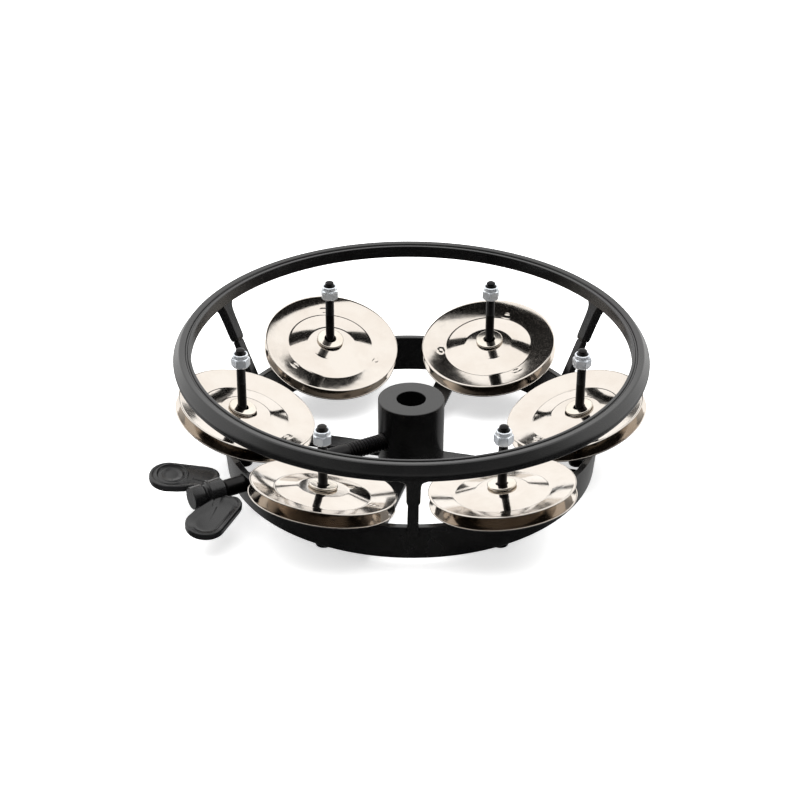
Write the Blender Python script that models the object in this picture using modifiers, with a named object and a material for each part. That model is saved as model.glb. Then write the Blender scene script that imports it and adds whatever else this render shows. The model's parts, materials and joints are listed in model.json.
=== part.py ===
"""Hi-hat tambourine: a clamp-on ring of six loose jingle pairs on a moulded frame.

The origin is on the axis of the hub's bore, in the plane of the screw heads that the
part stands on. +Z is up the bore and the wing screw lies at 210 degrees from +X.
All lengths below are millimetres and all angles are degrees. MM turns them into metres.
"""
import math

import bmesh
import bpy
from mathutils import Euler, Matrix, Vector

MM = 0.001
NAME = "hi_hat_tambourine"

# Heights above the plane of the screw heads
SCREW_HEAD_H = 4.0
BASE_Z = SCREW_HEAD_H
HUB_TOP_Z = BASE_Z + 28.4
BAND_TOP_Z = BASE_Z + 15.8
HOOP_BOTTOM_Z = BASE_Z + 49.0
SCREW_TIP_Z = BASE_Z + 52.5
CLAMP_Z = BASE_Z + 11.2

# Upper hoop
HOOP_R_OUT = 100.0
HOOP_R_IN = 92.3
HOOP_HEIGHT = 6.6
HOOP_STEPS = 72

# Lower frame: hub, arms, band and the bosses that carry the jingle screws
BAND_R_BOTTOM = 79.0
BAND_R_TOP = 80.5
BAND_WALL = 3.0
BAND_STEPS = 72
HUB_R = 14.2
BORE_R = 6.25
HUB_STEPS = 36
ARM_WIDTH = 8.9
ARM_THICK = 2.0
ARM_ANGLES = (75, 165, 255, 345)
BOSS_R = 4.5
BOSS_TOP_Z = BASE_Z + 15.0
BOSS_WEB = 6.0

# Posts that join the two rings, leaning outwards
POST_ANGLES = (30, 150, 270)
POST_FOOT = (78.6, BASE_Z + 12.0)
POST_HEAD = (96.2, BASE_Z + 51.0)
POST_SHOULDER_Z = BASE_Z + 33.6
PEG_LENGTH = 12.0
PEG_SIZE = (3.2, 2.1)
LOWER_POST_SIZE = (4.5, 3.3)
SLEEVE_SIZE = (5.8, 4.5)
FIT_GAP = 0.3

# Jingle stations
STATION_R = 72.0
THREAD_R = 1.95
SCREW_HOLE_R = 2.25
HEAD_R = 3.5
NUT_ACROSS_FLATS = 7.0
NUT_TOP_Z = SCREW_TIP_Z - 2.2
NUT_HEIGHT = 6.0
NUT_COLLAR_H = 1.6
WASHER_R = 6.0
WASHER_HOLE_R = 2.9
WASHER_THICK = 1.2
JINGLE_R = 30.0
JINGLE_HOLE_R = 4.4
JINGLE_CROWN_R = 10.5
JINGLE_CROWN_H = 1.6
JINGLE_VALLEY_R = 19.5
JINGLE_DEPTH = 2.4
JINGLE_SHEET = 0.6
JINGLE_STEPS = 24
PAIR_GAP = 0.3

# Station angle: height of the pair's middle above the band, lean towards the hub,
# sideways lean, and how far the loose pair has slid outwards and sideways on its screw
STATIONS = {
    0: (20.8, 16.5, 1.5, -1.2, -0.6),
    60: (19.9, 13.5, 1.0, -1.3, -0.4),
    120: (19.9, 18.5, -1.2, -1.2, 0.3),
    180: (20.5, 16.5, -2.0, -1.2, 0.6),
    240: (21.5, 14.5, -1.5, 1.4, 0.6),
    300: (21.9, 10.0, 1.0, 1.5, -0.6),
}

# Clamp screw and its wing head; distances are from the hub's axis
CLAMP_ANGLE = 210
CLAMP_R = 3.7
CLAMP_HOLE_R = 4.0
CLAMP_TIP = 2.2
CLAMP_END = 93.5
INSERT_R = 5.2
INSERT_FROM = 7.2
INSERT_TO = 12.2
INSERT_BORE_R = 3.85
WING_TURN = -7.0
WING_CENTRE = 91.3
COLLAR_R = 5.6
COLLAR_FROM = 90.0
COLLAR_TO = 97.0
NECK_R = 4.0
KNOB_R = 4.8
KNOB_FROM = 99.4
KNOB_TO = 104.4
PETAL_THICK = 3.0
PETAL_TOP = 1.2
PETAL_END = (14.9, 17.2)
PETAL_END_R = 8.3
PETAL_ARC = (51, 247)
PETAL_INNER = ((-0.7, 2.6), (-0.9, 5.6), (-2.6, 6.8), (-4.0, 7.8), (-4.6, 10.2), (-4.0, 12.8),
               (-2.2, 14.9))
PETAL_OUTER = ((15.7, 8.2), (13.2, 7.2), (9.7, 6.1), (7.0, 5.0), (5.2, 2.6))


def clear_scene():
    for obj in list(bpy.data.objects):
        bpy.data.objects.remove(obj, do_unlink=True)


def make_collection(name):
    collection = bpy.data.collections.new(name)
    bpy.context.scene.collection.children.link(collection)
    return collection


def make_material(name, colour, metallic, roughness):
    material = bpy.data.materials.new(name)
    material.use_nodes = True
    shader = material.node_tree.nodes["Principled BSDF"]
    shader.inputs["Base Color"].default_value = (*colour, 1.0)
    shader.inputs["Metallic"].default_value = metallic
    shader.inputs["Roughness"].default_value = roughness
    return material


def polar(radius, degrees, z=0.0):
    angle = math.radians(degrees)
    return Vector((radius * math.cos(angle), radius * math.sin(angle), z))


def add_object(name, mesh, collection, material=None):
    obj = bpy.data.objects.new(name, mesh)
    collection.objects.link(obj)
    if material:
        mesh.materials.append(material)
    return obj


def as_tool(obj):
    """Mark an object as a cutter or a joining piece, which isn't a part of its own."""
    obj.hide_render = True
    obj.display_type = "WIRE"
    return obj


def smooth(mesh, degrees=35):
    mesh.shade_smooth()
    mesh.set_sharp_from_angle(angle=math.radians(degrees))


def turned(name, profile, steps, collection, material=None, closed=True):
    """Turn a profile of (radius, height) about Z; it runs down its outer side."""
    mesh = bpy.data.meshes.new(name)
    verts = [(r * MM, 0.0, z * MM) for r, z in profile]
    edges = [(i, i + 1) for i in range(len(verts) - 1)]
    if closed:
        edges.append((len(verts) - 1, 0))
    mesh.from_pydata(verts, edges, [])
    obj = add_object(name, mesh, collection, material)
    screw = obj.modifiers.new("turn", "SCREW")
    screw.axis = "Z"
    screw.steps = steps
    screw.render_steps = steps
    screw.use_merge_vertices = True
    screw.merge_threshold = 0.00001
    screw.use_normal_calculate = False
    return obj


def tube_profile(r_in, r_out, z_low, z_high):
    return [(r_in, z_high), (r_out, z_high), (r_out, z_low), (r_in, z_low)]


def rod_profile(radius, z_low, z_high, chamfer=0.0):
    return [(0.0, z_high), (radius - chamfer, z_high), (radius, z_high - chamfer),
            (radius, z_low + chamfer), (radius - chamfer, z_low), (0.0, z_low)]


def along_axis(obj, degrees, height):
    """Lay a piece turned about Z along the ray at this angle, with its +Z outwards."""
    turn = Matrix.Rotation(math.radians(degrees), 4, "Z") @ Matrix.Rotation(math.radians(90), 4, "Y")
    obj.matrix_world = Matrix.Translation((0.0, 0.0, height * MM)) @ turn
    return obj


def box(name, low, high, collection):
    """Add a box between two corners, in the object's own axes."""
    mesh = bpy.data.meshes.new(name)
    bm = bmesh.new()
    bmesh.ops.create_cube(bm, size=1.0)
    size = [(b - a) * MM for a, b in zip(low, high)]
    centre = [(a + b) / 2 * MM for a, b in zip(low, high)]
    bmesh.ops.scale(bm, vec=size, verts=bm.verts)
    bmesh.ops.translate(bm, vec=centre, verts=bm.verts)
    bm.to_mesh(mesh)
    bm.free()
    return add_object(name, mesh, collection)


def leaning_bar(name, sections, collection):
    """Loft rectangles of (radius, height, width, depth) along a post's leaning line."""
    lean = Vector((POST_HEAD[0] - POST_FOOT[0], 0.0, POST_HEAD[1] - POST_FOOT[1])).normalized()
    across = Vector((0.0, 1.0, 0.0))
    outwards = across.cross(lean)
    bm = bmesh.new()
    rings = []
    for radius, height, width, depth in sections:
        centre = Vector((radius, 0.0, height))
        corners = []
        for side, front in ((-1, -1), (1, -1), (1, 1), (-1, 1)):
            point = centre + across * (side * width / 2) + outwards * (front * depth / 2)
            corners.append(bm.verts.new(point * MM))
        rings.append(corners)
    for low, high in zip(rings, rings[1:]):
        for i in range(4):
            j = (i + 1) % 4
            bm.faces.new((low[i], low[j], high[j], high[i]))
    bm.faces.new(rings[0][::-1])
    bm.faces.new(rings[-1])
    bmesh.ops.recalc_face_normals(bm, faces=bm.faces)
    mesh = bpy.data.meshes.new(name)
    bm.to_mesh(mesh)
    bm.free()
    return add_object(name, mesh, collection)


def post_point(height):
    """Radius of a post's leaning centre line at this height."""
    part = (height - POST_FOOT[1]) / (POST_HEAD[1] - POST_FOOT[1])
    return POST_FOOT[0] + part * (POST_HEAD[0] - POST_FOOT[0])


def post_section(height, size, grow=0.0):
    return (post_point(height), height, size[0] + grow, size[1] + grow)


def boolean(target, operation, tools, name):
    """Join or cut target with every object of a collection."""
    modifier = target.modifiers.new(name, "BOOLEAN")
    modifier.operation = operation
    modifier.operand_type = "COLLECTION"
    modifier.collection = tools
    modifier.solver = "EXACT"


def cut_with(target, cutter, name):
    modifier = target.modifiers.new(name, "BOOLEAN")
    modifier.operation = "DIFFERENCE"
    modifier.object = cutter
    modifier.solver = "EXACT"


def ring_about_z(obj, degrees):
    obj.rotation_euler = (0.0, 0.0, math.radians(degrees))
    return obj


def hoop_profile():
    """A bead with a thin lip and a groove along its inner top edge and a steep outer face."""
    low = HOOP_BOTTOM_Z
    high = low + HOOP_HEIGHT
    outer = HOOP_R_OUT
    inner = HOOP_R_IN
    return [(inner, high - 1.0), (inner + 0.4, high - 0.5), (inner + 1.1, high - 0.5),
            (inner + 1.5, high - 1.1), (inner + 2.1, high - 1.1), (inner + 2.6, high - 0.4),
            (inner + 3.6, high - 0.1), (inner + 4.7, high), (inner + 5.5, high - 0.6),
            (outer - 0.25, high - 3.4), (outer, low + 2.4), (outer - 0.3, low + 0.7),
            (outer - 1.2, low), (inner + 0.5, low + 0.5), (inner, low + 1.0)]


def build_upper_hoop(parts, tools, material):
    """Hoop with three sleeves that drop over the lower frame's pegs."""
    joined = make_collection("hoop_joined")
    cut = make_collection("hoop_cut")
    tools.children.link(joined)
    tools.children.link(cut)
    hoop = turned("upper_hoop", hoop_profile(), HOOP_STEPS, parts, material)
    bottom = POST_SHOULDER_Z
    top = POST_HEAD[1]
    for number, angle in enumerate(POST_ANGLES, 1):
        sleeve = leaning_bar(f"sleeve_{number}", [
            post_section(bottom, (4.7, 3.5)),
            post_section(bottom + 1.2, SLEEVE_SIZE),
            post_section(HOOP_BOTTOM_Z - 4.5, SLEEVE_SIZE),
            post_section(HOOP_BOTTOM_Z - 1.6, (7.6, 5.2)),
            post_section(HOOP_BOTTOM_Z + 0.6, (13.0, 6.2)),
            post_section(top, (13.0, 4.0)),
        ], joined)
        as_tool(ring_about_z(sleeve, angle))
        pocket = leaning_bar(f"pocket_{number}", [
            post_section(bottom - 1.0, PEG_SIZE, 2 * FIT_GAP),
            post_section(bottom + PEG_LENGTH + 0.6, PEG_SIZE, 2 * FIT_GAP),
        ], cut)
        as_tool(ring_about_z(pocket, angle))
    boolean(hoop, "UNION", joined, "sleeves")
    boolean(hoop, "DIFFERENCE", cut, "pockets")
    return hoop


def band_profile():
    inset = 0.6
    slope = (BAND_R_TOP - BAND_R_BOTTOM) / (BAND_TOP_Z - BASE_Z)
    return [(BAND_R_TOP - BAND_WALL + inset, BAND_TOP_Z), (BAND_R_TOP - inset, BAND_TOP_Z),
            (BAND_R_TOP - slope * inset, BAND_TOP_Z - inset),
            (BAND_R_BOTTOM + slope * inset, BASE_Z + inset), (BAND_R_BOTTOM - inset, BASE_Z),
            (BAND_R_BOTTOM - BAND_WALL, BASE_Z), (BAND_R_TOP - BAND_WALL, BAND_TOP_Z - inset)]


def hub_profile():
    return [(BORE_R, HUB_TOP_Z - 0.3), (BORE_R + 0.3, HUB_TOP_Z), (HUB_R - 0.4, HUB_TOP_Z),
            (HUB_R, HUB_TOP_Z - 0.4), (HUB_R, BASE_Z), (BORE_R, BASE_Z)]


def build_lower_frame(parts, tools, material):
    """Band, hub, four arms, six bosses and three pegged posts in one moulding."""
    joined = make_collection("frame_joined")
    cut = make_collection("frame_cut")
    tools.children.link(joined)
    tools.children.link(cut)
    frame = turned("lower_frame", band_profile(), BAND_STEPS, parts, material)
    as_tool(turned("hub", hub_profile(), HUB_STEPS, joined))
    for number, angle in enumerate(ARM_ANGLES, 1):
        arm = box(f"arm_{number}", (HUB_R - 2.0, -ARM_WIDTH / 2, BASE_Z),
                  (BAND_R_BOTTOM - 1.5, ARM_WIDTH / 2, BASE_Z + ARM_THICK), joined)
        as_tool(ring_about_z(arm, angle))
    for number, angle in enumerate(STATIONS, 1):
        boss = turned(f"boss_{number}", rod_profile(BOSS_R, BASE_Z, BOSS_TOP_Z), 16, joined, closed=False)
        boss.location = polar(STATION_R, angle) * MM
        as_tool(boss)
        web = box(f"web_{number}", (STATION_R, -BOSS_WEB / 2, BASE_Z),
                  (BAND_R_BOTTOM - 1.5, BOSS_WEB / 2, BAND_TOP_Z - 1.5), joined)
        as_tool(ring_about_z(web, angle))
        hole = turned(f"screw_hole_{number}", rod_profile(SCREW_HOLE_R, 0.0, BOSS_TOP_Z + 2.0), 12, cut,
                      closed=False)
        hole.location = polar(STATION_R, angle) * MM
        as_tool(hole)
    for number, angle in enumerate(POST_ANGLES, 1):
        shoulder = POST_SHOULDER_Z - FIT_GAP
        post = leaning_bar(f"post_{number}", [
            post_section(POST_FOOT[1], LOWER_POST_SIZE),
            post_section(shoulder, LOWER_POST_SIZE),
            post_section(shoulder + 0.01, PEG_SIZE),
            post_section(shoulder + PEG_LENGTH, PEG_SIZE),
        ], joined)
        as_tool(ring_about_z(post, angle))
    cutters = (
        ("clamp_way", CLAMP_HOLE_R, INSERT_TO - 1.0, BAND_R_TOP + 4.0),
        ("insert_pocket", INSERT_R + 0.2, 1.5, INSERT_TO + 0.2),
    )
    for name, radius, start, end in cutters:
        cutter = turned(name, rod_profile(radius, start, end), 20, cut, closed=False)
        as_tool(along_axis(cutter, CLAMP_ANGLE, CLAMP_Z))
    boolean(frame, "UNION", joined, "hub_arms_posts")
    boolean(frame, "DIFFERENCE", cut, "holes")
    return frame


def screw_profile():
    """Cap screw: socket head below, plain shank up to a rounded tip."""
    shank_top = SCREW_TIP_Z
    return [(0.0, shank_top), (THREAD_R - 0.7, shank_top), (THREAD_R, shank_top - 0.9),
            (THREAD_R, BASE_Z - 0.3), (HEAD_R - 0.3, BASE_Z - 0.3), (HEAD_R, BASE_Z - 0.6),
            (HEAD_R, 0.0), (1.5, 0.0), (1.5, 2.0), (0.0, 2.0)]


def build_nut(name, collection, material):
    """Hexagon body, a round collar above it and a recess for the locking ring."""
    corner_r = NUT_ACROSS_FLATS / math.sqrt(3)
    collar_r = NUT_ACROSS_FLATS / 2 - 0.2
    bottom = NUT_TOP_Z - NUT_HEIGHT
    hex_top = NUT_TOP_Z - NUT_COLLAR_H
    mesh = bpy.data.meshes.new(name)
    bm = bmesh.new()
    sections = ((corner_r - 0.5, bottom), (corner_r, bottom + 0.4), (corner_r, hex_top - 0.3),
                (collar_r + 0.1, hex_top + 0.1), (collar_r, NUT_TOP_Z - 0.4), (collar_r - 0.3, NUT_TOP_Z))
    rings = []
    for radius, height in sections:
        ring = [bm.verts.new(polar(radius, 60 * i + 15, height) * MM) for i in range(6)]
        rings.append(ring)
    for low, high in zip(rings, rings[1:]):
        for i in range(6):
            j = (i + 1) % 6
            bm.faces.new((low[i], low[j], high[j], high[i]))
    bm.faces.new(rings[0][::-1])
    bm.faces.new(rings[-1])
    bm.to_mesh(mesh)
    bm.free()
    return add_object(name, mesh, collection, material)


def build_nut_cutter(name, collection):
    """Thread hole with the wider recess at its top."""
    top = NUT_TOP_Z + 1.0
    low = NUT_TOP_Z - NUT_HEIGHT - 1.0
    floor = NUT_TOP_Z - NUT_COLLAR_H
    profile = [(0.0, top), (2.75, top), (2.75, floor), (2.15, floor), (2.15, low), (0.0, low)]
    return as_tool(turned(name, profile, 12, collection, closed=False))


def jingle_profile(side):
    """Disc with a flat crown, a valley at height 0 and a rim, both on the side given (+1 or -1)."""
    sheet = JINGLE_SHEET
    face = [(JINGLE_HOLE_R, JINGLE_CROWN_H), (JINGLE_CROWN_R, JINGLE_CROWN_H), (JINGLE_VALLEY_R, 0.0),
            (JINGLE_R, JINGLE_DEPTH)]
    upper = [(r, side * z + (sheet if side > 0 else 0.0)) for r, z in face]
    lower = [(r, z - sheet) for r, z in reversed(upper)]
    return upper + lower


def build_station(number, angle, parts, tools, materials):
    """Everything on one jingle screw, as children of an empty on the screw's axis."""
    middle, lean, side_lean, slid_out, slid_side = STATIONS[angle]
    empty = bpy.data.objects.new(f"station_{number}_axis", None)
    empty.location = polar(STATION_R, angle) * MM
    empty.rotation_euler = (0.0, 0.0, math.radians(angle))
    parts.objects.link(empty)
    tilt = Euler((math.radians(side_lean), math.radians(-lean), 0.0))
    up = tilt.to_matrix() @ Vector((0.0, 0.0, 1.0))
    centre = Vector((slid_out, slid_side, BASE_Z + middle))

    screw = turned(f"jingle_screw_{number}", screw_profile(), 12, parts, materials["screw"], closed=False)
    nut = build_nut(f"lock_nut_{number}", parts, materials["nut"])
    nut_cutter = build_nut_cutter(f"nut_cutter_{number}", tools)
    cut_with(nut, nut_cutter, "thread")
    ring_low = NUT_TOP_Z - NUT_COLLAR_H + 0.15
    ring = turned(f"nylon_ring_{number}", tube_profile(2.1, 2.6, ring_low, NUT_TOP_Z - 0.2), 12, parts,
                  materials["nylon"])
    lower = turned(f"jingle_lower_{number}", jingle_profile(-1), JINGLE_STEPS, parts, materials["jingle"])
    upper = turned(f"jingle_upper_{number}", jingle_profile(1), JINGLE_STEPS, parts, materials["jingle"])
    washer = turned(f"washer_{number}", tube_profile(WASHER_HOLE_R, WASHER_R, 0.0, WASHER_THICK), 20, parts,
                    materials["washer"])
    lower.location = (centre - up * PAIR_GAP / 2) * MM
    upper.location = (centre + up * PAIR_GAP / 2) * MM
    # The washer stays centred on the screw, on the upper jingle's leaning crown
    rise = (JINGLE_CROWN_H + JINGLE_SHEET + PAIR_GAP / 2 + 0.15) / up.z
    drop = (slid_out * up.x + slid_side * up.y) / up.z
    washer.location = Vector((0.0, 0.0, centre.z + rise + drop)) * MM
    for piece in (lower, upper, washer):
        piece.rotation_euler = tilt
    for piece in (screw, nut, nut_cutter, ring, lower, upper, washer):
        piece.parent = empty
    for piece in (screw, ring, lower, upper, washer):
        smooth(piece.data)
    return empty


def petal_outline():
    """One wing's outline in (distance along the screw, distance from it), with a round end."""
    first, last = (math.radians(a) for a in PETAL_ARC)
    along, out = PETAL_END
    points = list(PETAL_INNER)
    arc_steps = 12
    for i in range(arc_steps + 1):
        angle = first + (last - first) * i / arc_steps
        points.append((along - PETAL_END_R * math.cos(angle), out + PETAL_END_R * math.sin(angle)))
    points.extend(PETAL_OUTER)
    return points


def build_petal(name, side, collection):
    """Flat wing cut from its outline, on one side of the screw."""
    curve = bpy.data.curves.new(name, "CURVE")
    curve.dimensions = "2D"
    curve.fill_mode = "BOTH"
    curve.extrude = PETAL_THICK / 2 * MM
    spline = curve.splines.new("POLY")
    outline = petal_outline()
    spline.points.add(len(outline) - 1)
    for point, (along, out) in zip(spline.points, outline):
        point.co = ((WING_CENTRE + along) * MM, side * out * MM, 0.0, 1.0)
    spline.use_cyclic_u = True
    obj = bpy.data.objects.new(name, curve)
    collection.objects.link(obj)
    depsgraph = bpy.context.evaluated_depsgraph_get()
    mesh = bpy.data.meshes.new_from_object(obj.evaluated_get(depsgraph))
    bpy.data.objects.remove(obj, do_unlink=True)
    bm = bmesh.new()
    bm.from_mesh(mesh)
    bmesh.ops.remove_doubles(bm, verts=bm.verts, dist=0.00001)
    bmesh.ops.recalc_face_normals(bm, faces=bm.faces)
    bmesh.ops.translate(bm, verts=bm.verts, vec=(0.0, 0.0, (PETAL_TOP - PETAL_THICK / 2) * MM))
    bm.to_mesh(mesh)
    bm.free()
    return add_object(name, mesh, collection)


def build_clamp(parts, tools, materials):
    """Clamp screw, the insert it turns in and the wing head moulded on its outer end."""
    joined = make_collection("wing_joined")
    cut = make_collection("wing_cut")
    tools.children.link(joined)
    tools.children.link(cut)
    empty = bpy.data.objects.new("clamp_axis", None)
    empty.location = (0.0, 0.0, CLAMP_Z * MM)
    empty.rotation_euler = (0.0, 0.0, math.radians(CLAMP_ANGLE))
    parts.objects.link(empty)
    lay_down = Euler((0.0, math.radians(90), 0.0))
    wing_turn = Euler((math.radians(WING_TURN), 0.0, 0.0))

    screw = turned("clamp_screw", rod_profile(CLAMP_R, CLAMP_TIP, CLAMP_END, 0.6), 20, parts,
                   materials["screw"], closed=False)
    insert = turned("threaded_insert", tube_profile(INSERT_BORE_R, INSERT_R, INSERT_FROM, INSERT_TO), 20,
                    parts, materials["brass"])
    collar = [(0.0, KNOB_TO), (KNOB_R - 0.4, KNOB_TO), (KNOB_R, KNOB_TO - 0.4), (KNOB_R, KNOB_FROM),
              (NECK_R, KNOB_FROM - 1.2), (COLLAR_R - 0.5, COLLAR_TO), (COLLAR_R, COLLAR_TO - 0.5),
              (COLLAR_R, COLLAR_FROM + 0.5), (COLLAR_R - 0.5, COLLAR_FROM), (0.0, COLLAR_FROM)]
    head = turned("wing_head", collar, 24, parts, materials["wing"], closed=False)
    socket = turned("socket", rod_profile(CLAMP_R + FIT_GAP, COLLAR_FROM - 4.0, CLAMP_END + FIT_GAP), 20,
                    cut, closed=False)
    for piece in (screw, insert, head, socket):
        piece.rotation_euler = lay_down
        piece.parent = empty
    for side in (-1, 1):
        petal = build_petal(f"petal_{side + 2}", side, joined)
        petal.rotation_euler = wing_turn
        petal.parent = empty
        as_tool(petal)
    as_tool(socket)
    boolean(head, "UNION", joined, "wings")
    boolean(head, "DIFFERENCE", cut, "socket")
    for piece in (screw, insert, head):
        smooth(piece.data)


def build():
    clear_scene()
    parts = make_collection(NAME)
    tools = make_collection("cutters")
    black = (0.012, 0.012, 0.013)
    materials = {
        "frame": make_material("moulded_black", black, 0.0, 0.38),
        "screw": make_material("black_oxide_steel", (0.02, 0.02, 0.02), 0.6, 0.4),
        "nut": make_material("zinc_steel", (0.72, 0.74, 0.77), 1.0, 0.22),
        "nylon": make_material("black_nylon", black, 0.0, 0.5),
        "washer": make_material("nickel_washer", (0.78, 0.74, 0.68), 1.0, 0.15),
        "jingle": make_material("nickel_jingle", (0.80, 0.75, 0.68), 1.0, 0.12),
        "brass": make_material("brass_insert", (0.70, 0.52, 0.22), 1.0, 0.35),
        "wing": make_material("moulded_black_wing", (0.022, 0.022, 0.024), 0.0, 0.42),
    }
    build_upper_hoop(parts, tools, materials["frame"])
    build_lower_frame(parts, tools, materials["frame"])
    for number, angle in enumerate(STATIONS, 1):
        build_station(number, angle, parts, tools, materials)
    build_clamp(parts, tools, materials)


build()
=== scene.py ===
import json
import math

import bmesh
import bpy
import numpy as np
from mathutils import Matrix, Vector


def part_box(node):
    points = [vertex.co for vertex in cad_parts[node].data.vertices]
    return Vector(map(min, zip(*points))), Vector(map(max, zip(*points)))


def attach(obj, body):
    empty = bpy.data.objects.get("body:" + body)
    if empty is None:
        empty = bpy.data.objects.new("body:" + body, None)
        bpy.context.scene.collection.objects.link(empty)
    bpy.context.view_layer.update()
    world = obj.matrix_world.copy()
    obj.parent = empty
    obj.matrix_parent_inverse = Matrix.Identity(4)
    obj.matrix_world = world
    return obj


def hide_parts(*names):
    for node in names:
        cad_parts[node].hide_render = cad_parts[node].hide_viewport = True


# Lengths are millimetres in the CAD frame unless a name says otherwise; MM turns them into metres.
MM = 0.001
STATIONS = range(1, 7)

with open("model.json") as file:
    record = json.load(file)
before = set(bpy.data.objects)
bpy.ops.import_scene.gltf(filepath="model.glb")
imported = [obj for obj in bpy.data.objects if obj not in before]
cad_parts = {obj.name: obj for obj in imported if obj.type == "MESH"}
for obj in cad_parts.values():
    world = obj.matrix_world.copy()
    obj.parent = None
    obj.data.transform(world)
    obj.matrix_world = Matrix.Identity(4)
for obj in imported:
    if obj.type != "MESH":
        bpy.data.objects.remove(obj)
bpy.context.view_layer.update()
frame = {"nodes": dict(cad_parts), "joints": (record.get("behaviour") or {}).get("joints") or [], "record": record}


def place(node):
    """Lowest and highest corner of a CAD node, in millimetres."""
    low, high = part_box(node)
    return low / MM, high / MM


# ---------------------------------------------------------------- shape helpers

def rounded(corners, steps=4, closed=True):
    """Round a polygon's corners. Each is (x, y, cut), where cut is how far the rounding reaches."""
    count = len(corners)
    points = []
    for i, (x, y, cut) in enumerate(corners):
        here = Vector((x, y))
        if cut <= 0 or (not closed and i in (0, count - 1)):
            points.append((x, y))
            continue
        before = Vector(corners[i - 1][:2])
        after = Vector(corners[(i + 1) % count][:2])
        start = here + (before - here).normalized() * min(cut, (before - here).length * 0.49)
        end = here + (after - here).normalized() * min(cut, (after - here).length * 0.49)
        for k in range(steps + 1):
            t = k / steps
            point = start * (1 - t) ** 2 + here * 2 * t * (1 - t) + end * t ** 2
            points.append((point.x, point.y))
    return points


def rounded_box(width, depth, cut, steps=3):
    """Outline of a rectangle with round corners, as (across, out) points."""
    w, d = width / 2, depth / 2
    return rounded([(-w, -d, cut), (w, -d, cut), (w, d, cut), (-w, d, cut)], steps)


class Shape:
    """Vertices in millimetres and faces, collected piece by piece."""

    def __init__(self):
        self.verts = []
        self.faces = []

    def add(self, verts, faces, matrix=Matrix.Identity(4)):
        start = len(self.verts)
        self.verts.extend(matrix @ Vector(v) for v in verts)
        self.faces.extend([start + i for i in face] for face in faces)
        return self

    def rings(self, rings, matrix=Matrix.Identity(4), close_rings=False, cap_start=False, cap_end=False):
        """Skin rings of points, which all have the same number."""
        n = len(rings[0])
        verts = [p for ring in rings for p in ring]
        faces = []
        last = len(rings) if close_rings else len(rings) - 1
        for k in range(last):
            a, b = k * n, (k + 1) % len(rings) * n
            for i in range(n):
                j = (i + 1) % n
                faces.append((a + i, a + j, b + j, b + i))
        if cap_start:
            faces.append(tuple(range(n))[::-1])
        if cap_end:
            faces.append(tuple((len(rings) - 1) * n + i for i in range(n)))
        return self.add(verts, faces, matrix)

    def lathe(self, profile, steps, closed=True, matrix=Matrix.Identity(4)):
        """Turn (radius, height) points about Z. An open profile starts and ends on the axis."""
        if closed:
            rings = [ring_of(r, z, steps) for r, z in profile]
            return self.rings(rings, matrix, close_rings=True)
        inner = profile[1:-1]
        verts = [p for r, z in inner for p in ring_of(r, z, steps)]
        faces = []
        for k in range(len(inner) - 1):
            for i in range(steps):
                j = (i + 1) % steps
                faces.append((k * steps + i, k * steps + j, (k + 1) * steps + j, (k + 1) * steps + i))
        first, end = len(verts), (len(inner) - 1) * steps
        verts.extend([(0.0, 0.0, profile[0][1]), (0.0, 0.0, profile[-1][1])])
        for i in range(steps):
            j = (i + 1) % steps
            faces.append((first, j, i))
            faces.append((first + 1, end + i, end + j))
        return self.add(verts, faces, matrix)

    def build(self, name, material, sharp=35):
        mesh = bpy.data.meshes.new(name)
        mesh.from_pydata([v * MM for v in self.verts], [], self.faces)
        bm = bmesh.new()
        bm.from_mesh(mesh)
        bmesh.ops.recalc_face_normals(bm, faces=bm.faces)
        bm.to_mesh(mesh)
        bm.free()
        mesh.shade_smooth()
        mesh.set_sharp_from_angle(angle=math.radians(sharp))
        mesh.materials.append(material)
        obj = bpy.data.objects.new(name, mesh)
        bpy.context.scene.collection.objects.link(obj)
        return obj


def ring_of(radius, z, steps):
    angles = (2 * math.pi * i / steps for i in range(steps))
    return [(radius * math.cos(a), radius * math.sin(a), z) for a in angles]


def weigh_normals(obj):
    """Keep flat faces flat in the shading, next to their rounded edges."""
    modifier = obj.modifiers.new("weigh normals", "WEIGHTED_NORMAL")
    modifier.keep_sharp = True
    return obj


def subtract(obj, cutter):
    """Cut a hole, then drop the cutter."""
    modifier = obj.modifiers.new("hole", "BOOLEAN")
    modifier.operation = "DIFFERENCE"
    modifier.object = cutter
    modifier.solver = "EXACT"
    depsgraph = bpy.context.evaluated_depsgraph_get()
    mesh = bpy.data.meshes.new_from_object(obj.evaluated_get(depsgraph))
    obj.modifiers.remove(modifier)
    obj.data = mesh
    mesh.shade_smooth()
    mesh.set_sharp_from_angle(angle=math.radians(35))
    bpy.data.objects.remove(cutter)


def polar(radius, degrees):
    angle = math.radians(degrees)
    return Vector((radius * math.cos(angle), radius * math.sin(angle), 0.0))


def about_z(degrees):
    return Matrix.Rotation(math.radians(degrees), 4, "Z")


def smoothstep(t):
    t = min(max(t, 0.0), 1.0)
    return t * t * (3 - 2 * t)


# ---------------------------------------------------------------- materials

def new_material(name):
    material = bpy.data.materials.new(name)
    material.use_nodes = True
    tree = material.node_tree
    return material, tree, tree.nodes["Principled BSDF"]


def noise(tree, scale, detail=2.0, roughness=0.5, vector=None):
    if vector is None:
        vector = tree.nodes.new("ShaderNodeTexCoord").outputs["Object"]
    node = tree.nodes.new("ShaderNodeTexNoise")
    node.inputs["Scale"].default_value = scale
    node.inputs["Detail"].default_value = detail
    node.inputs["Roughness"].default_value = roughness
    tree.links.new(vector, node.inputs["Vector"])
    return node.outputs["Fac"]


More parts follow.
